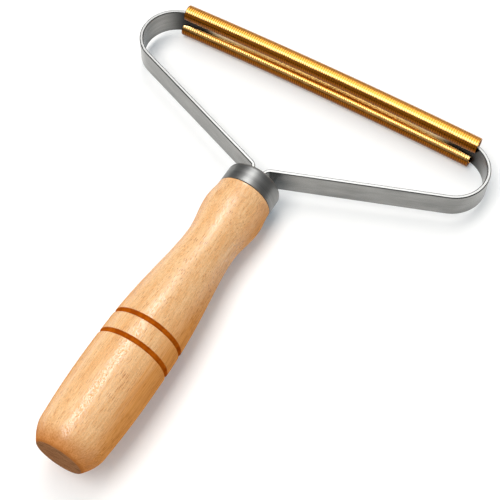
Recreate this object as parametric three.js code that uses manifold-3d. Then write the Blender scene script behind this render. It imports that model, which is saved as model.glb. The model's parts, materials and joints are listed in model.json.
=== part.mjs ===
// Hand tool for lifting pet hair and lint off cloth: a turned wooden handle, a steel ferrule,
// one steel strap bent into a triangular bow, and two fine-ribbed brass rolls on the bow's front.
// Millimetres, +Z up. The tool lies on a table: the handle's belly and the lower roll touch it,
// the handle runs along Y with the head at +Y, and the origin is on the table under the middle.

import * as THREE from 'three';
import { mergeVertices } from 'three/addons/utils/BufferGeometryUtils.js';
import Module from 'manifold-3d';

// Clearance between pieces that fit into each other
const FIT = 0.3;

// Handle, turned in beech
const HANDLE_LENGTH = 99.8;
const BUTT_RADIUS = 7.4;
const BUTT_ROUND_LENGTH = 8;
const BUTT_SHOULDER_RADIUS = 10.8;
const BELLY_RADIUS = 11.75;
const BELLY_AT = 30;
const BELLY_FULLNESS = 1.5;
const NECK_RADIUS = 8.35;
const NECK_BEHIND_FRONT = 19.8;
const BEAD_RADIUS = 9.95;
const BEAD_BEHIND_FRONT = 6.8;
const HANDLE_SIDES = 32;
const BUTT_STEPS = 7;
const BELLY_STEPS = 4;
const TAPER_STEPS = 12;
const BEAD_STEPS = 6;
const FRONT_STEPS = 4;

// Two burnt grooves round the belly
const GROOVE_WIDTH = 1.7;
const GROOVE_DEPTH = 0.6;
const GROOVE_REAR_AT = 36.6;
const GROOVE_SPACING = 7.6;
const GROOVE_MARGIN = 0.35;

// Ferrule, a drawn steel cup
const FERRULE_RADIUS = 9.3;
const FERRULE_LENGTH = 6.9;
const FERRULE_WALL = 0.6;
const FERRULE_RIM_RADIUS = 1.3;
const FERRULE_SIDES = 32;
const RIM_STEPS = 4;

// Bow, one steel strap on edge
const STRAP_WIDTH = 9;
const STRAP_THICKNESS = 1.2;
const STRAP_EDGE_BEVEL = 0.2;
const BOW_WIDTH = 128;
const ARM_ANGLE = THREE.MathUtils.degToRad(68.9);
const CORNER_RADIUS = 12.2;
const HEAD_ARC_RADIUS = 740;
const MOUTH_RADIUS = 2;
const LEG_SPACING = 4;
const LEG_DEPTH = 22;
const LEG_STAND_OUT = 1.4;
const BEND_STEPS = 8;

// Brass rolls, ribbed sheet curled into slit tubes
const ROLL_RADIUS = 2.7;
const ROLL_SHEET = 0.35;
const ROLL_OVERRUN = 2.85;
const ROLL_STAGGER = 1.4;
const ROLL_SEAT = 0.85;
const ROLL_BEND_RADIUS = 1900;
const ROLL_EDGE_REACH = 0.38;
const RIB_PITCH = 0.8;
const RIB_DEPTH = 0.12;
const ROLL_ARC_STEPS = 8;
const FLARE_STEPS = 4;
const BORE_STEPS = 8;

// Finishes
const BEECH = { color: 0xdda565, roughness: 0.35, metalness: 0 };
const FERRULE_STEEL = { color: 0xb4b4b0, roughness: 0.3, metalness: 1 };
const STRAP_STEEL = { color: 0x9b9b9b, roughness: 0.35, metalness: 1 };
const BRASS = { color: 0xc58a35, roughness: 0.28, metalness: 1 };

// How close two corners are before they count as one, and how finely the resting tilt is found
const SAME_CORNER = 1e-5;
const TILT_STEP = 1e-7;
const TILT_LIMIT = THREE.MathUtils.degToRad(15);

const wasm = await Module();
wasm.setup();

// A closed solid from a geometry whose corners are shared again and whose flat slivers are dropped
function solidOf(geometry) {
  const bare = geometry.clone();
  bare.deleteAttribute('normal');
  bare.deleteAttribute('uv');
  const merged = mergeVertices(bare, SAME_CORNER);
  const corners = merged.index.array;
  const kept = [];
  for (let i = 0; i < corners.length; i += 3) {
    const [a, b, c] = corners.slice(i, i + 3);
    if (a !== b && b !== c && c !== a) {
      kept.push(a, b, c);
    }
  }
  const vertProperties = new Float32Array(merged.attributes.position.array);
  const triVerts = new Uint32Array(kept);
  return new wasm.Manifold(new wasm.Mesh({ numProp: 3, vertProperties, triVerts }));
}

function geometryOf(solid) {
  const mesh = solid.getMesh();
  const geometry = new THREE.BufferGeometry();
  geometry.setAttribute('position', new THREE.BufferAttribute(new Float32Array(mesh.vertProperties), 3));
  geometry.setIndex(new THREE.BufferAttribute(new Uint32Array(mesh.triVerts), 1));
  return geometry;
}

function piece(name, geometry, finish) {
  const shaded = geometry.toNonIndexed();
  shaded.computeVertexNormals();
  const mesh = new THREE.Mesh(shaded, new THREE.MeshStandardMaterial(finish));
  mesh.name = name;
  return mesh;
}

// Where the pieces meet along the handle's line, measured from the butt
const neckAt = HANDLE_LENGTH - NECK_BEHIND_FRONT;
const beadAt = HANDLE_LENGTH - BEAD_BEHIND_FRONT;
const ferruleBack = HANDLE_LENGTH + FIT;
const ferruleFront = ferruleBack + FERRULE_LENGTH;
const tenonRadius = FERRULE_RADIUS - FERRULE_WALL - FIT;
const tenonEnd = ferruleFront - FERRULE_WALL - FIT;

// Radius of the turned handle at a distance from the butt
function ease(u) {
  return u * u * (3 - 2 * u);
}

function handleRadius(y) {
  if (y <= BUTT_ROUND_LENGTH) {
    const left = 1 - y / BUTT_ROUND_LENGTH;
    return BUTT_SHOULDER_RADIUS - (BUTT_SHOULDER_RADIUS - BUTT_RADIUS) * left * left;
  }
  if (y <= BELLY_AT) {
    const left = (BELLY_AT - y) / (BELLY_AT - BUTT_ROUND_LENGTH);
    return BELLY_RADIUS - (BELLY_RADIUS - BUTT_SHOULDER_RADIUS) * left * left;
  }
  if (y <= neckAt) {
    const u = (y - BELLY_AT) / (neckAt - BELLY_AT);
    return BELLY_RADIUS - (BELLY_RADIUS - NECK_RADIUS) * ease(u ** BELLY_FULLNESS);
  }
  if (y <= beadAt) {
    return NECK_RADIUS + (BEAD_RADIUS - NECK_RADIUS) * ease((y - neckAt) / (beadAt - neckAt));
  }
  return BEAD_RADIUS - (BEAD_RADIUS - FERRULE_RADIUS) * ease((y - beadAt) / BEAD_BEHIND_FRONT);
}

// Stations along the turned profile, crowded where it curves most
function spread(from, to, steps) {
  return Array.from({ length: steps }, (_, i) => from + (to - from) * i / steps);
}

const grooveCentres = [GROOVE_REAR_AT, GROOVE_REAR_AT + GROOVE_SPACING];

function outsideGrooves(y) {
  const reach = GROOVE_WIDTH / 2 + GROOVE_MARGIN;
  return grooveCentres.every((centre) => Math.abs(y - centre) > reach);
}

const stations = [
  ...spread(0, BUTT_ROUND_LENGTH, BUTT_STEPS),
  ...spread(BUTT_ROUND_LENGTH, BELLY_AT, BELLY_STEPS),
  ...spread(BELLY_AT, neckAt, TAPER_STEPS),
  ...spread(neckAt, beadAt, BEAD_STEPS),
  ...spread(beadAt, HANDLE_LENGTH, FRONT_STEPS),
  HANDLE_LENGTH,
].filter(outsideGrooves);

const turned = stations.map((y) => [handleRadius(y), y]);
for (const centre of grooveCentres) {
  const rear = centre - GROOVE_WIDTH / 2;
  const front = centre + GROOVE_WIDTH / 2;
  turned.push([handleRadius(rear), rear]);
  turned.push([handleRadius(centre) - GROOVE_DEPTH, centre]);
  turned.push([handleRadius(front), front]);
}
turned.sort((a, b) => a[1] - b[1]);

const handleProfile = [
  [0, 0],
  ...turned,
  [tenonRadius, HANDLE_LENGTH],
  [tenonRadius, tenonEnd - FERRULE_RIM_RADIUS],
  [tenonRadius - FERRULE_RIM_RADIUS, tenonEnd],
  [0, tenonEnd],
];
const blank = new THREE.LatheGeometry(handleProfile.map(([r, y]) => new THREE.Vector2(r, y)), HANDLE_SIDES);

// The slot that one leg of the strap passes through, from a depth to well past the ferrule
function legSlot(side, from) {
  const width = STRAP_THICKNESS + 2 * FIT;
  const height = STRAP_WIDTH + 2 * FIT;
  const length = ferruleFront + FERRULE_LENGTH - from;
  const slot = new THREE.BoxGeometry(width, length, height);
  slot.translate(side * LEG_SPACING / 2, from + length / 2, 0);
  return solidOf(slot);
}

const legEnd = ferruleFront - LEG_DEPTH;
const handleSolid = solidOf(blank).subtract(legSlot(-1, legEnd - FIT)).subtract(legSlot(1, legEnd - FIT));

// The ferrule's wall follows the outside at an even thickness, round the front rim too
function rimArc(radius) {
  const angles = [...spread(0, Math.PI / 2, RIM_STEPS), Math.PI / 2];
  return angles.map((angle) => new THREE.Vector2(
    FERRULE_RADIUS - FERRULE_RIM_RADIUS + radius * Math.cos(angle),
    ferruleFront - FERRULE_RIM_RADIUS + radius * Math.sin(angle),
  ));
}

const cupInside = rimArc(FERRULE_RIM_RADIUS - FERRULE_WALL).reverse();
const cupOutside = rimArc(FERRULE_RIM_RADIUS);
const cup = new THREE.LatheGeometry([
  new THREE.Vector2(0, ferruleFront - FERRULE_WALL),
  ...cupInside,
  new THREE.Vector2(FERRULE_RADIUS - FERRULE_WALL, ferruleBack),
  new THREE.Vector2(FERRULE_RADIUS, ferruleBack),
  ...cupOutside,
  new THREE.Vector2(0, ferruleFront),
], FERRULE_SIDES);
const cupMiddle = (ferruleBack + ferruleFront) / 2;
const ferruleSolid = solidOf(cup).subtract(legSlot(-1, cupMiddle)).subtract(legSlot(1, cupMiddle));

// The bow's line: leg, mouth bend, arm, corner, arched head. The arms set how far out the head lies.
const cornerX = BOW_WIDTH / 2 - CORNER_RADIUS;
const mouthX = LEG_SPACING / 2 + STRAP_THICKNESS / 2 + MOUTH_RADIUS;
const mouthY = ferruleFront + LEG_STAND_OUT;
const armNormal = new THREE.Vector2(Math.cos(ARM_ANGLE), -Math.sin(ARM_ANGLE));
const armStart = new THREE.Vector2(mouthX - MOUTH_RADIUS * armNormal.x, mouthY - MOUTH_RADIUS * armNormal.y);
const armReach = (cornerX + CORNER_RADIUS * armNormal.x - armStart.x) / Math.sin(ARM_ANGLE);
const cornerY = armStart.y + armReach * Math.cos(ARM_ANGLE) - CORNER_RADIUS * armNormal.y;
const headSwing = HEAD_ARC_RADIUS - CORNER_RADIUS;
const headTurn = Math.asin(cornerX / headSwing);
const headArcY = cornerY - headSwing * Math.cos(headTurn);
const headFace = headArcY + HEAD_ARC_RADIUS;

// Strap outline seen from above: out along one face and back along the other
const strapShape = new THREE.Shape();
const armTurn = Math.PI - ARM_ANGLE;
const legFace = LEG_SPACING / 2 + STRAP_THICKNESS / 2;
const innerMouth = MOUTH_RADIUS + STRAP_THICKNESS;
const innerCorner = CORNER_RADIUS - STRAP_THICKNESS;
const innerHead = HEAD_ARC_RADIUS - STRAP_THICKNESS;
const headStart = Math.PI / 2 - headTurn;
const headEnd = Math.PI / 2 + headTurn;
strapShape.moveTo(legFace, legEnd);
strapShape.absarc(mouthX, mouthY, MOUTH_RADIUS, Math.PI, armTurn, true);
strapShape.absarc(cornerX, cornerY, CORNER_RADIUS, -ARM_ANGLE, headStart, false);
strapShape.absarc(0, headArcY, HEAD_ARC_RADIUS, headStart, headEnd, false);
strapShape.absarc(-cornerX, cornerY, CORNER_RADIUS, headEnd, Math.PI + ARM_ANGLE, false);
strapShape.absarc(-mouthX, mouthY, MOUTH_RADIUS, ARM_ANGLE, 0, true);
strapShape.lineTo(-legFace, legEnd);
strapShape.lineTo(STRAP_THICKNESS - legFace, legEnd);
strapShape.absarc(-mouthX, mouthY, innerMouth, 0, ARM_ANGLE, false);
strapShape.absarc(-cornerX, cornerY, innerCorner, Math.PI + ARM_ANGLE, headEnd, true);
strapShape.absarc(0, headArcY, innerHead, headEnd, headStart, true);
strapShape.absarc(cornerX, cornerY, innerCorner, headStart, -ARM_ANGLE, true);
strapShape.absarc(mouthX, mouthY, innerMouth, armTurn, Math.PI, false);
strapShape.lineTo(legFace - STRAP_THICKNESS, legEnd);

const strap = new THREE.ExtrudeGeometry(strapShape, {
  depth: STRAP_WIDTH - 2 * STRAP_EDGE_BEVEL,
  curveSegments: BEND_STEPS,
  bevelEnabled: true,
  bevelThickness: STRAP_EDGE_BEVEL,
  bevelSize: STRAP_EDGE_BEVEL,
  bevelOffset: -STRAP_EDGE_BEVEL,
  bevelSegments: 1,
});
strap.translate(0, 0, STRAP_EDGE_BEVEL - STRAP_WIDTH / 2);
const strapSolid = solidOf(strap);

// A brass roll, bowed a little with the head. The strap passes through the front part of its bore, at the
// share ROLL_SEAT of the bore's radius. The slit, on the side of the other roll, keeps clear of the strap's
// two faces, so it opens wider towards the ends, where the strap bends away into the corners.
const ribCount = Math.round(2 * (cornerX + ROLL_OVERRUN) / RIB_PITCH);
const rollLength = ribCount * RIB_PITCH;
const boreRadius = ROLL_RADIUS - RIB_DEPTH - ROLL_SHEET;
const frontLip = ROLL_SEAT * boreRadius;
const rollY = headFace + FIT - frontLip;
const rollZ = STRAP_WIDTH / 2 - ROLL_EDGE_REACH;

function innerFaceAt(x) {
  const cornerStart = innerHead * Math.sin(headTurn);
  if (Math.abs(x) < cornerStart) {
    return headArcY + Math.sqrt(innerHead * innerHead - x * x);
  }
  return cornerY + Math.sqrt(innerCorner * innerCorner - (Math.abs(x) - cornerX) ** 2);
}

function rollBow(x) {
  return Math.sqrt(ROLL_BEND_RADIUS * ROLL_BEND_RADIUS - x * x) - ROLL_BEND_RADIUS;
}

function rollGeometry(shift) {
  const positions = [];
  const triangles = [];

  // One row of points round the curled sheet, from lip to lip the long way round
  function row(x, radius) {
    const bow = rollBow(x);
    const rearLip = innerFaceAt(x + shift) - FIT - rollY - bow;
    const from = Math.asin(frontLip / radius);
    const to = 2 * Math.PI + Math.asin(rearLip / radius);
    return Array.from({ length: ROLL_ARC_STEPS + 1 }, (_, i) => {
      const angle = from + (to - from) * i / ROLL_ARC_STEPS;
      positions.push(x, bow + radius * Math.sin(angle), -radius * Math.cos(angle));
      return positions.length / 3 - 1;
    });
  }

  function quad(a, b, c, d) {
    triangles.push(a, b, c, a, c, d);
  }

  // The ribs: a valley and a crest in turn, half a pitch apart
  const outside = Array.from({ length: 2 * ribCount + 1 }, (_, i) => {
    const radius = i % 2 === 0 ? ROLL_RADIUS - RIB_DEPTH : ROLL_RADIUS;
    return row(i * RIB_PITCH / 2 - rollLength / 2, radius);
  });

  // The smooth bore, with its rows closest where the slit flares
  const straight = cornerX - Math.abs(shift);
  const boreStations = [
    ...spread(-rollLength / 2, -straight, FLARE_STEPS),
    ...spread(-straight, straight, BORE_STEPS),
    ...spread(straight, rollLength / 2, FLARE_STEPS),
    rollLength / 2,
  ];
  const inside = boreStations.map((x) => row(x, boreRadius));

  for (const [rows, flip] of [[outside, true], [inside, false]]) {
    for (let k = 0; k + 1 < rows.length; k += 1) {
      for (let i = 0; i < ROLL_ARC_STEPS; i += 1) {
        const [a, b, c, d] = [rows[k][i], rows[k + 1][i], rows[k + 1][i + 1], rows[k][i + 1]];
        if (flip) {
          quad(a, d, c, b);
        } else {
          quad(a, b, c, d);
        }
      }
    }
  }

  // The two cut edges of the sheet, between the ribbed side and the smooth side
  for (const [i, flip] of [[0, false], [ROLL_ARC_STEPS, true]]) {
    let outer = 0;
    let inner = 0;
    while (outer + 1 < outside.length || inner + 1 < inside.length) {
      const nextOuter = outer + 1 < outside.length ? positions[3 * outside[outer + 1][i]] : Infinity;
      const nextInner = inner + 1 < inside.length ? positions[3 * inside[inner + 1][i]] : Infinity;
      const here = outside[outer][i];
      const across = inside[inner][i];
      let ahead;
      if (nextOuter <= nextInner) {
        outer += 1;
        ahead = outside[outer][i];
      } else {
        inner += 1;
        ahead = inside[inner][i];
      }
      if (flip) {
        triangles.push(here, across, ahead);
      } else {
        triangles.push(here, ahead, across);
      }
    }
  }

  // The ring-shaped ends
  for (const [rowOut, rowIn, flip] of [[outside[0], inside[0], true], [outside.at(-1), inside.at(-1), false]]) {
    for (let i = 0; i < ROLL_ARC_STEPS; i += 1) {
      if (flip) {
        quad(rowOut[i], rowIn[i], rowIn[i + 1], rowOut[i + 1]);
      } else {
        quad(rowOut[i], rowOut[i + 1], rowIn[i + 1], rowIn[i]);
      }
    }
  }

  const geometry = new THREE.BufferGeometry();
  geometry.setAttribute('position', new THREE.BufferAttribute(new Float32Array(positions), 3));
  geometry.setIndex(triangles);
  return geometry;
}

const rollShift = ROLL_STAGGER / 2;
const rollTube = rollGeometry(rollShift);
const upperRoll = piece('brass_roll_upper', rollTube, BRASS);
upperRoll.position.set(rollShift, rollY, rollZ);

// The lower roll is the same tube turned half a turn about the handle's line
const lowerRoll = piece('brass_roll_lower', rollTube, BRASS);
lowerRoll.position.set(-rollShift, rollY, -rollZ);
lowerRoll.rotation.y = Math.PI;

const straightTool = new THREE.Group();
straightTool.add(piece('handle', geometryOf(handleSolid), BEECH));
straightTool.add(piece('ferrule', geometryOf(ferruleSolid), FERRULE_STEEL));
straightTool.add(piece('bow_strap', geometryOf(strapSolid), STRAP_STEEL));
straightTool.add(upperRoll);
straightTool.add(lowerRoll);

// The tool tips until the belly and the lower roll reach the table together
function lowestGap(tilt) {
  const belly = Math.min(...stations.map((y) => -y * Math.sin(tilt) - handleRadius(y) * Math.cos(tilt)));
  const roll = -rollY * Math.sin(tilt) - rollZ * Math.cos(tilt) - ROLL_RADIUS;
  return roll - belly;
}

let lower = 0;
let upper = TILT_LIMIT;
while (upper - lower > TILT_STEP) {
  const middle = (lower + upper) / 2;
  if (lowestGap(middle) > 0) {
    lower = middle;
  } else {
    upper = middle;
  }
}
straightTool.rotation.x = -lower;

const tool = new THREE.Group();
tool.add(straightTool);
const box = new THREE.Box3().setFromObject(tool, true);
straightTool.position.set(-(box.min.x + box.max.x) / 2, -(box.min.y + box.max.y) / 2, -box.min.z);

export default tool;
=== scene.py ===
# %% [markdown]
# # A hand tool that lifts pet hair off cloth
#
# The tool has five pieces: a turned beech handle, a drawn steel ferrule, one flat steel strap bent into
# a bow with three corners, and two fine-ribbed brass rolls that grip the strap's edges at the front.
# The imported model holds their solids. Each could keep its solid and only get a finish, but the solids
# are coarse on purpose, so this lesson lays a finer surface in the same place, from the same sizes.

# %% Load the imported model
import json
import math

import bmesh
import bpy
import numpy as np
from mathutils import Matrix, Vector


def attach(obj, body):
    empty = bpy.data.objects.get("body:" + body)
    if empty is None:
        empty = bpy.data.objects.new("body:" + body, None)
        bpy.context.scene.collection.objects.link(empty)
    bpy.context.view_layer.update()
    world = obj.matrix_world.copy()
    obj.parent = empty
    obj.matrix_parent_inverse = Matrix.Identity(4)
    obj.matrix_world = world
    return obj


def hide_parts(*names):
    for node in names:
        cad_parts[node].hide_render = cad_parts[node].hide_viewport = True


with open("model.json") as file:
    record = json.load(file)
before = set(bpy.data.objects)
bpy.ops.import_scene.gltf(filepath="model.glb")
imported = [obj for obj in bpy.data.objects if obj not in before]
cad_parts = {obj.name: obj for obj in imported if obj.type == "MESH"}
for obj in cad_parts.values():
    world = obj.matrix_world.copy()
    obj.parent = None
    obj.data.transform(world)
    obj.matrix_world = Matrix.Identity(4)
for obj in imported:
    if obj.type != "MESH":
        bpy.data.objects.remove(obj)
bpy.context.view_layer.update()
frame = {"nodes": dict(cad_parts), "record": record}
print("nodes of the packed model:", sorted(frame["nodes"]))

# %% [markdown]
# ## One straight tool, then the table
#
# On the table the tool leans: the handle's belly and the lower roll touch the table, so the handle's
# line tips by about three degrees. Every point could be worked out on the leaning tool, but sizes are
# easier to think of on a straight one, in millimetres, with the butt at zero and the head along +Y. The
# record's mount on the butt end gives the place and the direction of the handle's line, so one function
# carries straight points to the table.

# %% From the straight tool to the table
MM = 0.001
butt_mount = next(mount for mount in frame["record"]["mounts"] if mount["name"] == "butt_end")
butt_place = np.array(butt_mount["pos_m"])
lean = math.atan2(butt_mount["axis"][2], -butt_mount["axis"][1])


def on_table(points):
    """Turns straight points about X by the lean, so that +Y dips, and moves the butt's middle to its
    place."""
    x, y, z = np.moveaxis(np.asarray(points, float) * MM, -1, 0)
    leaning_y = y * math.cos(lean) + z * math.sin(lean)
    leaning_z = z * math.cos(lean) - y * math.sin(lean)
    return np.stack((x, leaning_y, leaning_z), axis=-1) + butt_place


print("the handle's line tips by", round(math.degrees(lean), 3), "degrees")

# %% [markdown]
# ## The camera
#
# The photograph looks down on the tool from behind the butt, over the handle's right side. The camera
# could be moved by eye until the picture fits, but outlines measured in the photograph give its place
# directly. These numbers come from such a fit, and they are written on the straight tool, so they turn
# to the table with it.

# %% Put the camera where the photograph was taken
PICTURE_SIDE = 500
FOCAL_PIXELS = 1150
SENSOR_SIDE = 36
NEAREST = 0.01
FARTHEST = 50
EYE = np.array((100.119, -72.679, 301.619))
SIGHT_LINE = np.array((-0.25267, 0.44752, -0.85784))
PICTURE_UP = np.array((-0.44168, 0.73549, 0.51378))

eye = Vector(on_table(EYE))
sight = (Vector(on_table(EYE + SIGHT_LINE)) - eye).normalized()
picture_up = (Vector(on_table(EYE + PICTURE_UP)) - eye).normalized()
picture_right = sight.cross(picture_up).normalized()
picture_up = picture_right.cross(sight)

camera = bpy.data.objects.new("photo_camera", bpy.data.cameras.new("photo_camera"))
camera.data.sensor_width = SENSOR_SIDE
camera.data.lens = SENSOR_SIDE * FOCAL_PIXELS / PICTURE_SIDE
camera.data.clip_start = NEAREST
camera.data.clip_end = FARTHEST
turned = Matrix((picture_right, picture_up, -sight)).transposed()
camera.matrix_world = Matrix.Translation(eye) @ turned.to_4x4()
bpy.context.scene.collection.objects.link(camera)
bpy.context.scene.camera = camera
print("camera at", [round(v, 4) for v in eye], "lens", round(camera.data.lens, 2), "mm")

# %% [markdown]
# ## Shader sums
#
# A finish is a web of nodes. It could be wired one link at a time, but sums are hard to read that way.
# This small class wraps one socket, and an expression such as `1 - mask` adds the Math node that works
# it out. Colours go through Mix and vectors through Vector Math, because a Math node would turn a
# colour grey.

# %% A socket that can be used in sums
class Wire:
    """One socket of a finish. Signs between wires and numbers add Math nodes."""

    def __init__(self, tree, socket=None):
        self.tree = tree
        self.socket = socket

    def add(self, kind, settings=None, inputs=None, output=0):
        """Adds any node: its settings first, then a value or a link for each input named or counted."""
        node = self.tree.nodes.new(kind)
        for setting, value in (settings or {}).items():
            setattr(node, setting, value)
        for entry, value in (inputs or {}).items():
            if isinstance(value, Wire):
                self.tree.links.new(value.socket, node.inputs[entry])
            else:
                node.inputs[entry].default_value = value
        return Wire(self.tree, node.outputs[output] if node.outputs else None)

    def sum_of(self, operation, first, second):
        """One Math node on two wires or numbers."""
        return self.add("ShaderNodeMath", {"operation": operation}, {0: first, 1: second})

    def __add__(self, other):
        return self.sum_of("ADD", self, other)

    def __radd__(self, other):
        return self.sum_of("ADD", other, self)

    def __sub__(self, other):
        return self.sum_of("SUBTRACT", self, other)

    def __rsub__(self, other):
        return self.sum_of("SUBTRACT", other, self)

    def __mul__(self, other):
        return self.sum_of("MULTIPLY", self, other)

    def __rmul__(self, other):
        return self.sum_of("MULTIPLY", other, self)

    def __abs__(self):
        return self.sum_of("ABSOLUTE", self, 0.0)

    def mark(self, name, output="Fac"):
        """Reads a mark that the mesh carries: a number, or a vector with the output Vector."""
        return self.add("ShaderNodeAttribute", {"attribute_name": name}, None, output)

    def part(self, axis):
        """The X, Y or Z of a vector."""
        return self.add("ShaderNodeSeparateXYZ", None, {"Vector": self}, axis)

    def rise(self, low, high):
        """0 below low, 1 above high, and an even S-curve between them. With low above high it falls."""
        settings = {"interpolation_type": "SMOOTHSTEP"}
        return self.add("ShaderNodeMapRange", settings, {"Value": self, "From Min": low, "From Max": high})

    def tint(self, under, over):
        """The colour under where this wire is 0, the colour over where it is 1."""
        return self.add("ShaderNodeMix", {"data_type": "RGBA"}, {0: self, 6: under, 7: over}, 2)

    def stretch(self, x, y, z):
        """Each part of a vector times its own number."""
        return self.add("ShaderNodeVectorMath", {"operation": "MULTIPLY"}, {0: self, 1: (x, y, z)})

    def cloud(self, detail=2.0, roughness=0.5, distortion=0.0):
        """Soft noise about 0.5, with one lump to each unit of this vector."""
        amounts = {"Scale": 1.0, "Detail": detail, "Roughness": roughness, "Distortion": distortion}
        return self.add("ShaderNodeTexNoise", None, {"Vector": self, **amounts})

    def cells(self):
        """The distance to the nearest of some scattered points, one to each unit of this vector."""
        return self.add("ShaderNodeTexVoronoi", None, {"Vector": self, "Scale": 1.0})

    def bump(self, height):
        """The surface's direction where this wire raises it by height millimetres at 1."""
        return self.add("ShaderNodeBump", None, {"Height": self, "Distance": height * MM})


def seen(red, green, blue):
    """A colour as a picture shows it, from 0 to 255, as the shader's linear numbers: a power curve, with
    a straight foot under 0.04."""
    shares = np.array((red, green, blue)) / 255
    linear = np.where(shares <= 0.04045, shares / 12.92, ((shares + 0.055) / 1.055) ** 2.4)
    return (*linear.tolist(), 1.0)


def new_finish(name):
    """An empty material, and a wire to start its nodes from."""
    finish = bpy.data.materials.new(name)
    finish.use_nodes = True
    finish.node_tree.nodes.clear()
    return finish, Wire(finish.node_tree)


def coat_surface(start, **sockets):
    """Adds the one surface shader of a finish and joins it to the output."""
    inputs = {name.replace("_", " "): value for name, value in sockets.items()}
    shader = start.add("ShaderNodeBsdfPrincipled", None, inputs)
    start.add("ShaderNodeOutputMaterial", None, {"Surface": shader})


print("a mid tan as shader numbers:", [round(v, 3) for v in seen(240, 180, 110)])

# %% [markdown]
# ## The white table
#
# The tool lies on a plain white table. A white table could be made by pouring on light, but then the
# wood would bleach. Here the lamps stay at a plain level, the table is nearly white, and a little glow
# that only the camera and mirror-like rays see lifts it to white. The glow is small, so the tool's
# shadow stays. The wood throws warm light into its own shadow, so the glow is cool and the table a
# little creamy: together they leave shadows grey.

# %% Lay the table
TABLE_HALF_SIDE = 4.0
TABLE_DROP = 0.00003
TABLE_WHITE = (0.935, 0.90, 0.855, 1.0)
TABLE_GLOW = (0.08, 0.12, 0.155, 1.0)
NO_GLOW = (0, 0, 0, 1)

square = np.array(((-1, -1, 0), (1, -1, 0), (1, 1, 0), (-1, 1, 0)))
corners = square * TABLE_HALF_SIDE - (0, 0, TABLE_DROP)
table_mesh = bpy.data.meshes.new("table")
table_mesh.from_pydata(corners.tolist(), [], [(0, 1, 2, 3)])
table = bpy.data.objects.new("table", table_mesh)
bpy.context.scene.collection.objects.link(table)

table_finish, start = new_finish("white table")
camera_ray = start.add("ShaderNodeLightPath", None, None, "Is Camera Ray")
glossy_ray = start.add("ShaderNodeLightPath", None, None, "Is Glossy Ray")
passing_ray = start.add("ShaderNodeLightPath", None, None, "Is Transmission Ray")
shown_ray = camera_ray + glossy_ray + passing_ray
coat_surface(
    start,
    Base_Color=TABLE_WHITE,
    Roughness=0.9,
    Specular_IOR_Level=0.0,
    Emission_Color=shown_ray.tint(NO_GLOW, TABLE_GLOW),
    Emission_Strength=1.0,
)
table_mesh.materials.append(table_finish)
print("table", 2 * TABLE_HALF_SIDE, "m across")

# %% [markdown]
# ## Soft lamps
#
# In the photograph the main light is long and soft and hangs along the handle's line, a little left of
# overhead: the handle has one streak along it and a tight shadow on its right, and the bow throws
# hardly any. One lamp alone would do for the wood. Metal needs something to mirror, so there are also a
# wide dim lamp overhead, a dim panel at the far side, a strip at the near side for the pale line on the
# rolls, a low panel under it, and a grey room round them all for the darker bands.

# %% Hang the lamps
ROOM_GREY = 0.20
TOOL_MIDDLE = Vector((0.0, 0.0, 0.01))


def hang_lamp(name, towards, distance, width, depth, power):
    """A square-cornered soft lamp at a distance from the tool in a direction, facing the tool."""
    data = bpy.data.lights.new(name, "AREA")
    data.shape = "RECTANGLE"
    data.size = width
    data.size_y = depth
    data.energy = power
    lamp = bpy.data.objects.new(name, data)
    direction = Vector(towards).normalized()
    lamp.location = TOOL_MIDDLE + direction * distance
    lamp.rotation_euler = direction.to_track_quat("Z", "Y").to_euler()
    bpy.context.scene.collection.objects.link(lamp)
    print(name, "lamp at", [round(v, 2) for v in lamp.location])


hang_lamp("long_lamp", (-0.196, 0.0, 0.98), distance=1.6, width=2.6, depth=0.8, power=24)
hang_lamp("overhead", (-0.06, 0.04, 0.95), distance=1.6, width=2.2, depth=2.2, power=6)
hang_lamp("back_panel", (-0.10, 0.85, 0.50), distance=1.8, width=1.6, depth=1.0, power=4)
hang_lamp("front_strip", (-0.24, -0.41, 0.88), distance=1.8, width=1.4, depth=0.35, power=4)
hang_lamp("front_panel", (-0.15, -0.95, 0.26), distance=1.8, width=2.2, depth=0.9, power=4.2)

room = bpy.data.worlds.new("room")
room.use_nodes = True
room.node_tree.nodes["Background"].inputs["Color"].default_value = (ROOM_GREY, ROOM_GREY, ROOM_GREY, 1)
bpy.context.scene.world = room
bpy.context.scene.view_settings.view_transform = "Standard"

# %% [markdown]
# ## From a grid of points to a piece
#
# Every piece here is one closed skin: a grid of points whose first and last columns meet, and whose
# ends close. Blender's own shapes could be bent into place, but a grid worked out with numpy gives each
# point exactly. The grid is joined into four-cornered faces, doubled points along the seam are welded,
# and marks such as how deep a point lies in a groove go along on the corners of the faces, so that a
# finish can read them.

# %% Weld a grid into a closed skin
WELD_REACH = 1e-6
SHARP_EDGE = math.radians(50)


def volume_inside(points, faces):
    """A sixth of the sum, over both triangles of each face, of the first corner's dot with the cross
    product of the other two. It is positive where the faces point outwards."""
    a, b, c, d = (points[faces[:, corner]] for corner in range(4))
    return float(((a * np.cross(b, c)).sum() + (a * np.cross(c, d)).sum()) / 6)


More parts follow.
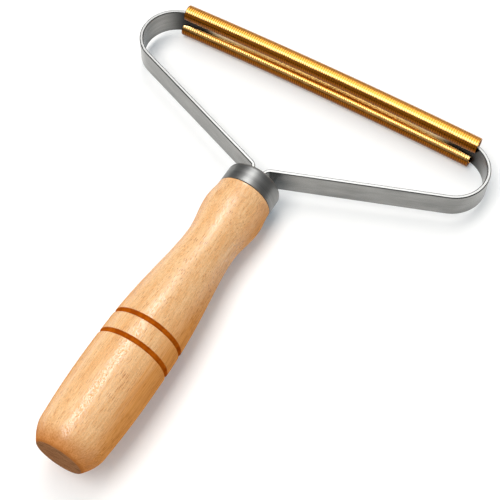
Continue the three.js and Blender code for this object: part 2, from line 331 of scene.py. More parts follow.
def lay_skin(name, straight_points, **marks):
    """Joins each point of a grid with its neighbours. The mark place is the point on the straight
    tool."""
    rows, columns = straight_points.shape[:2]
    points = on_table(straight_points).reshape(-1, 3)
    row, column = np.meshgrid(np.arange(rows - 1), np.arange(columns - 1), indexing="ij")
    first = (row * columns + column).ravel()
    faces = np.stack((first, first + 1, first + columns + 1, first + columns), axis=1)
    if volume_inside(points, faces) < 0:
        faces = faces[:, ::-1]
    mesh = bpy.data.meshes.new(name)
    mesh.from_pydata(points.tolist(), [], faces.tolist())
    for mark, values in {"place": straight_points, **marks}.items():
        flat = np.asarray(values, np.float32).reshape(rows * columns, -1)
        kind, field = ("FLOAT", "value") if flat.shape[1] == 1 else ("FLOAT_VECTOR", "vector")
        layer = mesh.attributes.new(mark, kind, "CORNER")
        layer.data.foreach_set(field, flat[faces.ravel()].ravel())
    skin = bmesh.new()
    skin.from_mesh(mesh)
    bmesh.ops.remove_doubles(skin, verts=skin.verts, dist=WELD_REACH)
    skin.to_mesh(mesh)
    skin.free()
    mesh.shade_smooth()
    mesh.set_sharp_from_angle(angle=SHARP_EDGE)
    return mesh


def add_piece(name, mesh, finish, node):
    """Puts a skin into the scene in place of its solid."""
    piece = bpy.data.objects.new(name, mesh)
    bpy.context.scene.collection.objects.link(piece)
    mesh.materials.clear()
    mesh.materials.append(finish)
    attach(piece, "root")
    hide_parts(node)
    triangles = sum(len(face.vertices) - 2 for face in mesh.polygons)
    print(name, "stands for", node, "with", triangles, "triangles")


print("grids are welded at", WELD_REACH, "m")

# %% [markdown]
# ## The handle's shape
#
# The handle is turned on a lathe from one stick of beech: a rounded butt with a flat end, a long belly,
# a neck and a bead that meets the ferrule. A lathe shape could be made with the Screw modifier. Here
# the radius is a formula of the distance from the butt, so the two grooves are simply taken off the
# radius, and their depth is kept as a mark for the burnt colour.

# %% The turned profile
HANDLE_LENGTH = 99.8
BUTT_RADIUS = 7.4
BUTT_ROUND_LENGTH = 8.0
BUTT_SHOULDER_RADIUS = 10.8
BELLY_RADIUS = 11.75
BELLY_AT = 30.0
BELLY_FULLNESS = 1.5
NECK_RADIUS = 8.35
NECK_AT = 80.0
BEAD_RADIUS = 9.95
BEAD_AT = 93.0
FERRULE_RADIUS = 9.3


def ease(u):
    """An even S-curve from 0 to 1: three u squared less two u cubed."""
    u = np.clip(u, 0, 1)
    return u * u * (3 - 2 * u)


def handle_radius(y):
    """Two parabolas up to the belly, an S-curve whose start is held back by a power down to the neck,
    and S-curves up to the bead and down to the ferrule."""
    to_butt = 1 - y / BUTT_ROUND_LENGTH
    butt = BUTT_SHOULDER_RADIUS - (BUTT_SHOULDER_RADIUS - BUTT_RADIUS) * to_butt**2
    to_belly = (BELLY_AT - y) / (BELLY_AT - BUTT_ROUND_LENGTH)
    belly = BELLY_RADIUS - (BELLY_RADIUS - BUTT_SHOULDER_RADIUS) * to_belly**2
    to_neck = np.clip((y - BELLY_AT) / (NECK_AT - BELLY_AT), 0, 1)
    taper = BELLY_RADIUS - (BELLY_RADIUS - NECK_RADIUS) * ease(to_neck**BELLY_FULLNESS)
    to_bead = (y - NECK_AT) / (BEAD_AT - NECK_AT)
    bead = NECK_RADIUS + (BEAD_RADIUS - NECK_RADIUS) * ease(to_bead)
    to_front = (y - BEAD_AT) / (HANDLE_LENGTH - BEAD_AT)
    front = BEAD_RADIUS - (BEAD_RADIUS - FERRULE_RADIUS) * ease(to_front)
    parts = [y <= BUTT_ROUND_LENGTH, y <= BELLY_AT, y <= NECK_AT, y <= BEAD_AT]
    return np.select(parts, [butt, belly, taper, bead], front)


print("radius at butt, belly, neck, bead:", handle_radius(np.array((0.0, BELLY_AT, NECK_AT, BEAD_AT))))

# %% Cut the grooves into the turned side
GROOVE_CENTRES = (36.6, 44.2)
GROOVE_HALF_WIDTH = 0.85
GROOVE_DEPTH = 0.6
GROOVE_REACH = 1.0
GROOVE_STEP = 0.06
STATION_STEP = 0.4
BUTT_EDGE = 0.4


def groove_cut(y, reach=1.0):
    """One less the square of how far a point lies from a groove's middle, as a share of its half width:
    1 in the middle, 0 at the groove's edges."""
    half_width = GROOVE_HALF_WIDTH * reach
    shares = [np.clip(np.abs(y - centre) / half_width, 0, 1) for centre in GROOVE_CENTRES]
    return sum(1 - share**2 for share in shares)


near_grooves = [np.arange(at - GROOVE_REACH, at + GROOVE_REACH, GROOVE_STEP) for at in GROOVE_CENTRES]
even_stations = np.arange(BUTT_EDGE, HANDLE_LENGTH, STATION_STEP)
stations = np.unique(np.concatenate((even_stations, *near_grooves)))
turned_wood = np.stack((handle_radius(stations) - GROOVE_DEPTH * groove_cut(stations), stations), axis=1)
print("the turned side has", len(stations), "stations")

# %% Close the butt and the tenon, and turn the handle
BUTT_EDGE_STEPS = 6
FLAT_END_STEPS = 19
TENON_RADIUS = 8.4
TENON_END = 106.1
TENON_CHAMFER = 1.3
HANDLE_SIDES = 144
SCORCH_REACH = 1.15
END_GRAIN_START = 0.02
END_GRAIN_FADE = 0.24


def turn_round(profile, sides):
    """Carries a profile of (radius, distance along the handle) once round the handle's line: X is the
    radius times the sine of the angle, Z is the radius times its cosine."""
    angle = np.linspace(0, 2 * np.pi, sides + 1)
    radius = profile[:, :1]
    along = np.broadcast_to(profile[:, 1:], (len(profile), sides + 1))
    return np.stack((radius * np.sin(angle), along, radius * np.cos(angle)), axis=-1)


# The butt's edge is a short curve: from the flat end, past the corner, to the turned side
share = np.linspace(0, 1, BUTT_EDGE_STEPS + 1)[:, None]
flat_side = np.array((BUTT_RADIUS - BUTT_EDGE, 0))
corner = np.array((BUTT_RADIUS, 0))
turned_side = turned_wood[0]
butt_edge = flat_side * (1 - share) ** 2 + 2 * corner * share * (1 - share) + turned_side * share**2
flat_radius = np.linspace(0, BUTT_RADIUS - BUTT_EDGE, FLAT_END_STEPS + 1)[:-1]
flat_end = np.stack((flat_radius, np.zeros(FLAT_END_STEPS)), axis=1)
tenon = np.array((
    (FERRULE_RADIUS, HANDLE_LENGTH),
    (TENON_RADIUS, HANDLE_LENGTH),
    (TENON_RADIUS, TENON_END - TENON_CHAMFER),
    (TENON_RADIUS - TENON_CHAMFER, TENON_END),
    (0, TENON_END),
))
handle_profile = np.concatenate((flat_end, butt_edge[:-1], turned_wood, tenon))
handle_grid = turn_round(handle_profile, HANDLE_SIDES)

# Marks for the finish. The mark aside is -1 on the left, 0 on top and 1 on the right
from_butt = handle_grid[..., 1]
scorch = groove_cut(from_butt, SCORCH_REACH)
end_wood = 1 - ease((from_butt - END_GRAIN_START) / END_GRAIN_FADE)
aside = np.broadcast_to(np.sin(np.linspace(0, 2 * np.pi, HANDLE_SIDES + 1)), from_butt.shape)
handle_mesh = lay_skin("handle_turned", handle_grid, scorch=scorch, end_wood=end_wood, aside=aside)
print("handle profile has", len(handle_profile), "stations")

# %% [markdown]
# ## The beech
#
# Beech is a pale orange-tan wood with soft long streaks and fine, short, darker dashes along the grain,
# which crowd in patches. Shade is painted into the colour: the right side is a redder, darker tan, and
# so are the far left flank and the rounding at the butt. The clear lacquer stands in specks between the
# open pores, so its streak of light breaks up, and it is worn dull on the flanks. The grooves were burnt
# in with a wire, so they are brown and dull. The flat butt is end grain with a brown rim. The pattern
# could be painted on the skin, but wood has its pattern all through, so the nodes read the place on the
# straight tool.

# %% Choose the beech's colours and where they lie
PALE_WOOD = seen(231, 172, 112), seen(246, 203, 151)
# Painted shade: a redder, darker tan on the right side and on the far left flank
RIGHT_SHADE_WOOD = seen(213, 138, 68), seen(237, 168, 96)
LEFT_SHADE_WOOD = seen(204, 134, 70), seen(224, 160, 94)
# Painted shade on the rounding at the butt
BUTT_SHADE_WOOD = seen(168, 96, 34), seen(200, 126, 58)
END_GRAIN = seen(154, 110, 76), seen(92, 58, 36)
BURNT_WOOD = seen(156, 70, 8), seen(186, 94, 14)
DASH_BROWN = seen(174, 94, 40)
RIM_BROWN = seen(160, 92, 40)
RIGHT_SHADE_START = 6.0
RIGHT_SHADE_FULL = 11.5
RIGHT_SHADE_WANDER = 8.0
FLANK_START = 7.0
FLANK_FULL = 10.5
LEFT_SHADE_START = -0.55
LEFT_SHADE_FULL = -0.97
LEFT_SHADE_STRENGTH = 0.7
BUTT_SHADE_STRENGTH = 0.85
RIM_START = 1.1
RIM_FULL = 0.3
RIM_STRENGTH = 0.6
# The darker tan on the right side is painted shade
print("heart wood shows from", RIGHT_SHADE_START, "mm right of the handle's line")

# %% Mix the beech finish
beech, start = new_finish("lacquered beech")
place = start.mark("place", "Vector")
sideways = place.part("X")
lengthways = place.part("Y")

# Long streaks, fine fibres, and short dashes that crowd in some patches
streak = place.stretch(0.45, 0.022, 0.45).cloud(3.0, 0.55, 0.4)
fibre = place.stretch(3.4, 0.07, 3.4).cloud(1.5, 0.5)
patches = place.stretch(0.16, 0.05, 0.16).cloud(2.0).rise(0.35, 0.65)
dash = place.stretch(3.4, 0.24, 3.4).cells().rise(0.30, 0.16) * (0.40 + 0.50 * patches)
tone = streak.rise(0.32, 0.68) * 0.45 + fibre.rise(0.36, 0.64) * 0.55

# Painted shade: a redder, darker tan on the right side and on the far left flank, and the dashes over both
right_shade = (sideways + (streak - 0.5) * RIGHT_SHADE_WANDER).rise(RIGHT_SHADE_START, RIGHT_SHADE_FULL)
wood = right_shade.tint(tone.tint(*PALE_WOOD), tone.tint(*RIGHT_SHADE_WOOD))
left_shade = start.mark("aside").rise(LEFT_SHADE_START, LEFT_SHADE_FULL) * LEFT_SHADE_STRENGTH
wood = left_shade.tint(wood, tone.tint(*LEFT_SHADE_WOOD))
wood = dash.tint(wood, DASH_BROWN)

# Painted shade on the rounding at the butt, then its rim, then end grain with small pores between rings
butt_round = lengthways.rise(BUTT_ROUND_LENGTH, 0.0)
wood = (butt_round * BUTT_SHADE_STRENGTH).tint(wood, tone.tint(*BUTT_SHADE_WOOD))
wood = (lengthways.rise(RIM_START, RIM_FULL) * RIM_STRENGTH).tint(wood, RIM_BROWN)
pores = place.stretch(2.6, 0.0, 2.6).cells().rise(0.4, 0.1)
rings = place.stretch(0.25, 0.0, 1.6).cloud(3.0, 0.6, 0.3)
end_tone = (rings * 0.9 + pores * 0.2).rise(0.3, 0.8)
wood = start.mark("end_wood").tint(wood, end_tone.tint(*END_GRAIN))

# Burnt grooves, uneven along their edges
char = (start.mark("scorch") + (fibre - 0.5) * 0.5).rise(0.1, 0.5)
wood = char.tint(wood, streak.rise(0.3, 0.7).tint(*BURNT_WOOD))

# The lacquer stands in glossy specks, but not on the flanks, in the grooves or round the butt
speck = place.stretch(3.2, 1.8, 3.2).cloud(2.0, 0.6).rise(0.43, 0.53)
lacquer = speck * abs(sideways).rise(FLANK_FULL, FLANK_START) * (1 - char) * (1 - butt_round)
height = fibre * 0.5 + speck * 0.35 - dash * 0.4
coat_surface(
    start,
    Base_Color=wood,
    Roughness=0.5 + 0.2 * char,
    Specular_IOR_Level=0.0,
    Normal=height.bump(0.05),
    Coat_Weight=lacquer,
    Coat_Roughness=0.24,
    Coat_IOR=2.0,
)
add_piece("handle_turned", handle_mesh, beech, "handle")

# %% [markdown]
# ## The ferrule
#
# The ferrule is a cup drawn from sheet steel, pushed over the tenon. Its front edge is rounded, and two
# slots let the strap's legs through. The cup is a profile turned round the handle's line, outside and
# inside in one. The slots could be left out, because the legs fill them, but from the front their edges
# show, so they are cut with a Boolean and the result is kept as plain mesh.

# %% Turn the cup
FIT = 0.3
FERRULE_LENGTH = 6.9
FERRULE_BACK = HANDLE_LENGTH + FIT
FERRULE_FRONT = FERRULE_BACK + FERRULE_LENGTH
FERRULE_WALL = 0.6
FERRULE_SIDES = 160
BACK_EDGE = 0.12
RIM_RADIUS = 1.3
RIM_STEPS = 12
INNER_RIM_STEPS = 6
SUPPORT = 0.05


def rim_arc(radius, steps):
    """A quarter circle about the middle of the front edge's rounding, from the front face to the
    wall."""
    angle = np.linspace(np.pi / 2, 0, steps)
    across = FERRULE_RADIUS - RIM_RADIUS + radius * np.cos(angle)
    along = FERRULE_FRONT - RIM_RADIUS + radius * np.sin(angle)
    return np.stack((across, along), axis=1)


rim_inside = FERRULE_RADIUS - RIM_RADIUS
cup_outside = np.concatenate((
    ((0, FERRULE_FRONT), (rim_inside - SUPPORT, FERRULE_FRONT)),
    rim_arc(RIM_RADIUS, RIM_STEPS),
    ((FERRULE_RADIUS, FERRULE_FRONT - RIM_RADIUS - SUPPORT),),
    ((FERRULE_RADIUS, FERRULE_BACK + BACK_EDGE),),
    ((FERRULE_RADIUS - BACK_EDGE / 3, FERRULE_BACK + BACK_EDGE / 3),),
    ((FERRULE_RADIUS - BACK_EDGE, FERRULE_BACK),),
))
cup_inside = np.concatenate((
    ((FERRULE_RADIUS - FERRULE_WALL, FERRULE_BACK),),
    rim_arc(RIM_RADIUS - FERRULE_WALL, INNER_RIM_STEPS)[::-1],
    ((0, FERRULE_FRONT - FERRULE_WALL),),
))
cup_grid = turn_round(np.concatenate((cup_outside, cup_inside)), FERRULE_SIDES)
cup_mesh = lay_skin("ferrule_cup", cup_grid)
print("the cup runs from", round(FERRULE_BACK, 2), "to", round(FERRULE_FRONT, 2), "mm")

# %% Cut the slots for the legs
LEG_X = 2.0
STRAP_THICKNESS = 1.2
STRAP_WIDTH = 9.0
SLOT_CLEARANCE = 0.12


def slot_block(side):
    """A block that is a little wider than one leg of the strap, through the cup's front."""
    half_x = STRAP_THICKNESS / 2 + SLOT_CLEARANCE
    half_z = STRAP_WIDTH / 2 + SLOT_CLEARANCE
    ring = np.array(((-1, -1), (1, -1), (1, 1), (-1, 1), (-1, -1)))
    closed = np.zeros_like(ring)
    across = np.stack((closed, ring, ring, closed))
    along = np.repeat(np.array((-1, -1, 1, 1))[:, None], len(ring), axis=1)
    block = np.stack((across[..., 0], along, across[..., 1]), axis=-1)
    return block * (half_x, FERRULE_WALL * 2, half_z) + (side * LEG_X, FERRULE_FRONT, 0)


cup = bpy.data.objects.new("cup", cup_mesh)
bpy.context.scene.collection.objects.link(cup)
cutters = []
for side in (-1, 1):
    cutter = bpy.data.objects.new("slot_cutter", lay_skin("slot_cutter", slot_block(side)))
    bpy.context.scene.collection.objects.link(cutter)
    cut = cup.modifiers.new("leg slot", "BOOLEAN")
    cut.object = cutter
    cutters.append(cutter)
slotted = bpy.data.meshes.new_from_object(cup.evaluated_get(bpy.context.evaluated_depsgraph_get()))
slotted.set_sharp_from_angle(angle=SHARP_EDGE)
for helper in (cup, *cutters):
    bpy.data.objects.remove(helper)
print("ferrule cup has", len(slotted.polygons), "faces after its slots")

# %% [markdown]
# ## Brushed steel
#
# The cup was polished while it turned, so fine scratches run round it. A real scratch is far thinner
# than a pixel. Thousands of grooves could be modelled, but a noise that changes quickly along the
# handle's line and slowly round it gives the same bands, as a small bump and as a change of roughness.

# %% Mix the ferrule's finish
CUP_STEEL = seen(128, 128, 127), seen(150, 150, 148)

ferrule_steel, start = new_finish("brushed ferrule steel")
place = start.mark("place", "Vector")
scratch = place.stretch(0.06, 6.0, 0.06).cloud(3.0, 0.6)
smear = place.stretch(0.08, 0.5, 0.08).cloud(1.0)
coat_surface(
    start,
    Base_Color=(smear * 0.5 + scratch * 0.5).rise(0.3, 0.7).tint(*CUP_STEEL),
    Metallic=1.0,
    Roughness=0.33 + 0.10 * scratch,
    Normal=scratch.bump(0.004),
)
add_piece("ferrule_cup", slotted, ferrule_steel, "ferrule")

# %% [markdown]
# ## The strap's line
#
# One flat steel strap stands on edge and runs from a leg in the handle, out along an arm, round a
# corner, along the head, which is arched by little more than its own thickness, and back. Such a line
# could be drawn as a curve with handles. It is really a bench bender's list of straights and bends, so
# it is worked out that way: each step keeps a heading, and a bend is an arc of the strap's middle.

# %% List the straights and bends
LEG_DEPTH = 22.0
LEG_STAND_OUT = 1.4
BOW_WIDTH = 128.0
ARM_ANGLE = math.radians(68.9)
MOUTH_RADIUS = 2.0
CORNER_RADIUS = 12.2
HEAD_ARC_RADIUS = 740.0
LEG_STEPS = 24
MOUTH_STEPS = 20
ARM_STEPS = 40
CORNER_STEPS = 64
HEAD_STEPS = 80

leg_end = FERRULE_FRONT - LEG_DEPTH
mouth_bend = MOUTH_RADIUS + STRAP_THICKNESS / 2
corner_bend = CORNER_RADIUS - STRAP_THICKNESS / 2
head_bend = HEAD_ARC_RADIUS - STRAP_THICKNESS / 2
corner_x = BOW_WIDTH / 2 - CORNER_RADIUS
head_turn = math.asin(corner_x / (HEAD_ARC_RADIUS - CORNER_RADIUS))
corner_turn = math.pi / 2 + ARM_ANGLE - head_turn
mouth_end_x = LEG_X + mouth_bend * (1 - math.cos(ARM_ANGLE))
arm_end_x = corner_x + corner_bend * math.cos(ARM_ANGLE)
arm_length = (arm_end_x - mouth_end_x) / math.sin(ARM_ANGLE)
half_bow = [
    (LEG_DEPTH + LEG_STAND_OUT, 0.0, LEG_STEPS),
    (mouth_bend * ARM_ANGLE, -ARM_ANGLE, MOUTH_STEPS),
    (arm_length, 0.0, ARM_STEPS),
    (corner_bend * corner_turn, corner_turn, CORNER_STEPS),
]
head = [(2 * head_bend * head_turn, 2 * head_turn, HEAD_STEPS)]
bow_steps = half_bow + head + half_bow[::-1]
print("the bow has", len(bow_steps), "straights and bends, and arms of", round(arm_length, 1), "mm")

# %% Follow the straights and bends
def bend_line(steps, start, heading):
    """Walks a list of (length, turn, count). A straight adds its length times the heading. A bend with
    curvature k, its turn over its length, adds the change of (sine, minus cosine) of the heading, over
    k."""
    places = []
    headings = []
    here = np.array(start, float)
    for length, turn, count in steps:
        walked = np.linspace(0, length, count + 1)
        facing = heading + turn * walked / length
        if turn:
            east = np.sin(facing) - np.sin(heading)
            north = np.cos(heading) - np.cos(facing)
            path = here + np.stack((east, north), axis=1) * length / turn
        else:
            path = here + walked[:, None] * np.array((math.cos(heading), math.sin(heading)))
        places.append(path[:-1])
        headings.append(facing[:-1])
        here = path[-1]
        heading = facing[-1]
    places.append(here[None])
    headings.append(np.array([heading]))
    return np.concatenate(places), np.concatenate(headings)


bow_path, bow_heading = bend_line(bow_steps, (LEG_X, leg_end), math.pi / 2)
print("the bow's line ends at", bow_path[-1].round(3), "and reaches", bow_path.max(axis=0).round(3))

# %% [markdown]
# ## The strap's section
#
# The strap was slit from sheet and its edges were eased, so its section is a thin oblong with small
# round corners. A plain oblong would have razor edges that catch no light. The section is walked once
# round as a list of points, with two more close to each corner so that the flat faces stay flat, and it
# is carried along the line.

# %% Carry the section along the line
EDGE_RADIUS = 0.28
EDGE_STEPS = 6
FLAT_SUPPORT = 0.06


def strap_section():
    """Points round the oblong: for each corner a quarter circle, with a point just before and just
    after it. The first number is across the thickness, the second is up the width."""
    half = np.array((STRAP_THICKNESS / 2, STRAP_WIDTH / 2))
    pieces = []
    for quarter, signs in enumerate(((1, 1), (-1, 1), (-1, -1), (1, -1))):
        angle = quarter * np.pi / 2 + np.linspace(0, np.pi / 2, EDGE_STEPS + 1)
        round_corner = np.stack((np.cos(angle), np.sin(angle)), axis=1) * EDGE_RADIUS
        middle = np.array(signs) * (half - EDGE_RADIUS)
        before = round_corner[:1] + FLAT_SUPPORT * np.array((math.sin(angle[0]), -math.cos(angle[0])))
        after = round_corner[-1:] + FLAT_SUPPORT * np.array((-math.sin(angle[-1]), math.cos(angle[-1])))
        pieces.append(np.concatenate((before, round_corner, after)) + middle)
    section = np.concatenate(pieces)
    return np.concatenate((section, section[:1]))


def carry_along(section, path, heading):
    """Each section point goes to the path's left by its first number and up by its second. A last row
    at each end draws the section in to its middle, which closes the strap."""
    left = np.stack((-np.sin(heading), np.cos(heading)), axis=1)
    level = path[:, None, :] + left[:, None, :] * section[None, :, :1]
    up = np.broadcast_to(section[:, 1], level.shape[:2])
    grid = np.concatenate((level, up[..., None]), axis=-1)
    first_end = np.broadcast_to(grid[:1].mean(axis=1, keepdims=True), grid[:1].shape)
    last_end = np.broadcast_to(grid[-1:].mean(axis=1, keepdims=True), grid[-1:].shape)
    return np.concatenate((first_end, grid, last_end))


section = strap_section()
strap_grid = carry_along(section, bow_path, bow_heading)
print("the strap's section has", len(section) - 1, "points")

# %% Mark the strap for its finish
HIGHLIGHT_END = 39.0
HIGHLIGHT_FADE = 8.0
SHADE_END = 54.0
SHADE_FADE = 11.0


def walked_length(points):
    """The running length of a line of points, from zero."""
    steps = np.linalg.norm(np.diff(points, axis=0), axis=1)
    return np.concatenate(([0.0], np.cumsum(steps)))


along = walked_length(bow_path)
along = np.concatenate((along[:1], along, along[-1:]))
around = walked_length(section)
strip_place = np.stack(np.broadcast_arrays(along[:, None], around[None, :], 0.0), axis=-1)
across = np.broadcast_to(section[:, 0] / (STRAP_THICKNESS / 2), strap_grid.shape[:2])

# Painted highlight on the inner face between the rolls, and painted shade from there to past their ends
from_middle = np.abs(along - along[-1] / 2)[:, None]
inner_side = section[None, :, 0] > 0
rub_and_highlight = inner_side * (1 - ease((from_middle - HIGHLIGHT_END) / HIGHLIGHT_FADE))
roll_end_shade = inner_side * (1 - ease((from_middle - SHADE_END) / SHADE_FADE)) - rub_and_highlight
strap_marks = {"strip": strip_place, "across": across, "roll_end_shade": roll_end_shade, "rub_and_highlight": rub_and_highlight}
strap_mesh = lay_skin("bow_strip", strap_grid, **strap_marks)
print("the strap is", round(float(along[-1]), 1), "mm long and", round(float(around[-1]), 2), "mm round")

# %% [markdown]
# ## Satin strip steel
#
# The strap's broad faces are satin: the rollers left faint lines along the strip, so they mirror the
# table as an even light grey. The flat of each edge is painted brighter as a highlight, with painted
# dark lines on the eased corners beside it. Between the rolls the inner face is rougher and painted a
# pale cream as a highlight; beside the rolls' ends it is painted dark as shade. The lines could follow
# Object coordinates on a straight piece, but this strip bends, so they follow its own length and the
# way round it.

# %% Mix the strap's finish
STRIP_STEEL = seen(122, 122, 120), seen(160, 159, 156)
# Painted shade on the inner face beside the rolls' ends
SHADED_STEEL = seen(36, 35, 34)
# Painted dark lines on the eased corners, and a painted highlight on the flat of each edge
EDGE_SHADE_STEEL = seen(84, 84, 83)
EDGE_HIGHLIGHT_STEEL = seen(198, 198, 196)
# Painted highlight on the inner face between the rolls
HIGHLIGHT_STEEL = seen(255, 242, 208)
EASED_START = 0.45
EASED_FULL = 0.2
EDGE_START = 0.10
EDGE_FULL = 0.02

strap_steel, start = new_finish("satin strap steel")
strip = start.mark("strip", "Vector")
roller_lines = strip.stretch(0.05, 7.0, 1.0).cloud(3.0, 0.65)
cloudy = strip.stretch(0.09, 0.25, 1.0).cloud(2.0)
rub_and_highlight = start.mark("rub_and_highlight")
below_edge = STRAP_WIDTH / 2 - abs(start.mark("place", "Vector").part("Z"))
eased = below_edge.rise(EASED_START, EASED_FULL)
edge = below_edge.rise(EDGE_START, EDGE_FULL) * abs(start.mark("across")).rise(0.66, 0.40)
steel = (roller_lines * 0.6 + cloudy * 0.4).rise(0.3, 0.7).tint(*STRIP_STEEL)
# Painted shade on the inner face beside the rolls' ends
steel = start.mark("roll_end_shade").tint(steel, SHADED_STEEL)
# Painted dark lines on the eased corners, then a painted highlight on the flat of each edge
steel = eased.tint(steel, EDGE_SHADE_STEEL)
steel = edge.tint(steel, EDGE_HIGHLIGHT_STEEL)
# Between the rolls the inner face is rougher and gets a painted highlight colour
coat_surface(
    start,
    Base_Color=rub_and_highlight.tint(steel, HIGHLIGHT_STEEL),
    Metallic=1.0,
    Roughness=0.17 + 0.08 * roller_lines + 0.05 * cloudy + 0.12 * rub_and_highlight + 0.2 * edge,
    Normal=roller_lines.bump(0.006),
)
add_piece("bow_strip", strap_mesh, strap_steel, "bow_strap")

# %% [markdown]
# ## The ribbed rolls
#
# The working part is a pair of brass rolls. Thin brass sheet with fine ribs was curled into a slit tube
# and pressed over each edge of the strap; the ribs catch the hair. Ribs this fine could be a bump, but
# then the outline would be smooth, so each rib is real: the tube's radius rises and falls along it,
# eight points to a rib. They are shallower than on the solid, because deep ribs glitter where the
# photograph shows a calm sheen. Towards the ends the strap already bends away into its corners, and the
# slit opens wider there to clear it.

# %% Place the rolls on the head
ROLL_RADIUS = 2.7
BORE_RADIUS = 2.23
ROLL_SHIFT = 0.7
ROLL_SEAT = 0.85
ROLL_EDGE_REACH = 0.38
ROLL_BEND_RADIUS = 1900.0

head_face = bow_path[:, 1].max() + STRAP_THICKNESS / 2
head_centre_y = head_face - HEAD_ARC_RADIUS
corner_y = head_centre_y + (HEAD_ARC_RADIUS - CORNER_RADIUS) * math.cos(head_turn)
inner_head = HEAD_ARC_RADIUS - STRAP_THICKNESS
inner_corner = CORNER_RADIUS - STRAP_THICKNESS
roll_y = head_face + FIT - ROLL_SEAT * BORE_RADIUS
roll_z = STRAP_WIDTH / 2 - ROLL_EDGE_REACH


def roll_bow(x):
    """How far a long arc falls back from its middle: the root of its radius squared less x squared,
    less the radius."""
    return np.sqrt(ROLL_BEND_RADIUS**2 - x**2) - ROLL_BEND_RADIUS


def inner_face(x):
    """Y of the strap's face that looks at the handle: the head's long arc, then the corner's."""
    along_head = head_centre_y + np.sqrt(inner_head**2 - x**2)
    past = np.clip(np.abs(x) - corner_x, 0, inner_corner)
    along_corner = corner_y + np.sqrt(inner_corner**2 - past**2)
    return np.where(np.abs(x) < inner_head * math.sin(head_turn), along_head, along_corner)


print("the rolls' lines lie at", round(roll_y, 3), "mm, up and down by", round(roll_z, 2), "mm")

# %% Curl a ribbed sheet into a slit tube
RIB_PITCH = 0.8
RIB_DEPTH = 0.04
RIB_COUNT = 137
RIB_POINTS = 8
LIP_CLEARANCE = 0.1
ARC_STEPS = 34
roll_length = RIB_COUNT * RIB_PITCH
round_share = np.linspace(0, 1, ARC_STEPS + 1)


def rib_height(x):
    """1 on a rib's crest, 0 in the valley between two: half of one less the cosine of the turn along
    the pitch."""
    return 0.5 - 0.5 * np.cos(2 * np.pi * (x + roll_length / 2) / RIB_PITCH)


def sheet_angles(x, radius):
    """From the front lip the long way round to the rear lip. A lip's angle is the arcsine of how far
    the strap's face lies from the tube's middle, over the radius."""
    rear_lip = inner_face(x + ROLL_SHIFT) - LIP_CLEARANCE - roll_y - roll_bow(x)
    front = np.arcsin((head_face + LIP_CLEARANCE - roll_y) / radius)
    rear = 2 * np.pi + np.arcsin(rear_lip / radius)
    return front[:, None] + (rear - front)[:, None] * round_share


def curl(x, radius):
    """Points at one radius round the tube's middle: Y is the radius times the sine, on the bowed line,
    and Z minus the radius times the cosine."""
    angle = sheet_angles(x, radius)
    level = np.broadcast_to(x[:, None], angle.shape)
    forward = roll_bow(x)[:, None] + radius[:, None] * np.sin(angle)
    return np.stack((level, forward, -radius[:, None] * np.cos(angle)), axis=-1)


roll_x = np.linspace(-roll_length / 2, roll_length / 2, RIB_COUNT * RIB_POINTS + 1)
ribs = rib_height(roll_x)
outside = curl(roll_x, ROLL_RADIUS - RIB_DEPTH * (1 - ribs))
inside = curl(roll_x, np.full_like(roll_x, BORE_RADIUS))
middle = (outside + inside) / 2

# The sheet is walked outside from lip to lip and back inside. Each end draws in to the sheet's middle
skin_rows = np.concatenate((outside, inside[:, ::-1], outside[:, :1]), axis=1)
closing_rows = np.concatenate((middle, middle[:, ::-1], middle[:, :1]), axis=1)
tube_grid = np.concatenate((closing_rows[:1], skin_rows, closing_rows[-1:]))
print(RIB_COUNT, "ribs on", round(roll_length, 1), "mm of roll")

# %% Mark the tube and lay it on both edges
LIP_START = 0.955
# How far back the lower roll's painted highlight and shade bands move
LOWER_LIGHT_SHIFT = 0.14

rib_rows = np.concatenate((ribs[:1], ribs, ribs[-1:]))
crest = np.broadcast_to(rib_rows[:, None], tube_grid.shape[:2])

# How far the sheet looks back at the handle: 1 straight at it, 0 up or down, -1 straight ahead
backwards = (roll_bow(tube_grid[..., 0]) - tube_grid[..., 1]) / ROLL_RADIUS
sheet_share = np.concatenate((round_share, round_share[::-1], round_share[:1]))
lip = np.broadcast_to(ease((sheet_share - LIP_START) / (1 - LIP_START)), tube_grid.shape[:2])
upper_grid = tube_grid + (ROLL_SHIFT, roll_y, roll_z)
upper_mesh = lay_skin("roll_upper_ribbed", upper_grid, crest=crest, backwards=backwards, lip=lip)

# The lower roll is the same tube turned half a turn, and its painted highlight and shade bands start
# further back, so less of it is painted in shade
lower_grid = tube_grid * (-1, 1, -1) + (-ROLL_SHIFT, roll_y, -roll_z)
lower_backwards = backwards - LOWER_LIGHT_SHIFT
lower_mesh = lay_skin("roll_lower_ribbed", lower_grid, crest=crest, backwards=lower_backwards, lip=lip)
print("each roll's grid has", tube_grid.shape[0], "by", tube_grid.shape[1], "points")

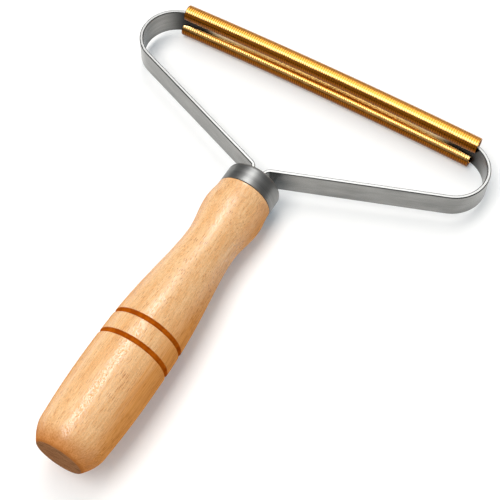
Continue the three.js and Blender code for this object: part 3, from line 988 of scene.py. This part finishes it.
# %% [markdown]
# ## Bright brass
#
# The brass is a deep gold. A pale band is painted as a highlight where the sheet begins to look back at
# the handle, the backs are painted brown as shade, and the fronts less so. The rear lip has a painted
# highlight of pale gold. Crests are brighter than valleys, and fine drawn lines run along the roll. One
# gold all over would look like plastic, and a band laid in space would not follow the sheet, so the marks
# on the skin choose between a few golds, and a soft noise lets the painted shade vary.

# %% Mix the brass finish
DEEP_GOLD = seen(186, 122, 46), seen(208, 146, 66)
# Painted highlight: the pale band where the sheet begins to look back at the handle
HIGHLIGHT_GOLD = seen(204, 154, 86), seen(226, 180, 114)
# Painted shade: brown on the backs and, less, on the fronts
SHADED_BRASS = seen(110, 58, 8), seen(146, 86, 16)
# Painted highlight on the rear lip
LIP_HIGHLIGHT_GOLD = seen(248, 216, 154)
GOLD_HIGHLIGHT_START = 0.30
GOLD_HIGHLIGHT_FULL = 0.44
BRASS_SHADE_START = 0.52
BRASS_SHADE_FULL = 0.80
FRONT_SHADE = 0.6

brass, start = new_finish("ribbed brass")
place = start.mark("place", "Vector")
backwards = start.mark("backwards")
patchy = place.stretch(0.22, 0.5, 0.5).cloud(3.0, 0.6)
lines = place.stretch(0.03, 2.6, 2.6).cloud(2.0, 0.6)
bright = (start.mark("crest") + (lines - 0.5) * 0.8).rise(0.0, 1.0)
# Painted highlight: a pale band where the sheet begins to look back at the handle
gold = backwards.rise(GOLD_HIGHLIGHT_START, GOLD_HIGHLIGHT_FULL).tint(bright.tint(*DEEP_GOLD), bright.tint(*HIGHLIGHT_GOLD))
# Painted highlight on the rear lip
gold = start.mark("lip").tint(gold, LIP_HIGHLIGHT_GOLD)
# Painted shade: brown towards the backs and less towards the fronts, varied by a soft noise
facing = backwards.sum_of("MAXIMUM", backwards, backwards * -FRONT_SHADE)
brass_shade = (facing + (patchy - 0.5) * 0.2).rise(BRASS_SHADE_START, BRASS_SHADE_FULL)
coat_surface(
    start,
    Base_Color=brass_shade.tint(gold, bright.tint(*SHADED_BRASS)),
    Metallic=1.0,
    Roughness=0.26 - 0.04 * bright + 0.06 * patchy,
    Normal=lines.bump(0.002),
)
add_piece("roll_upper_ribbed", upper_mesh, brass, "brass_roll_upper")
add_piece("roll_lower_ribbed", lower_mesh, brass, "brass_roll_lower")
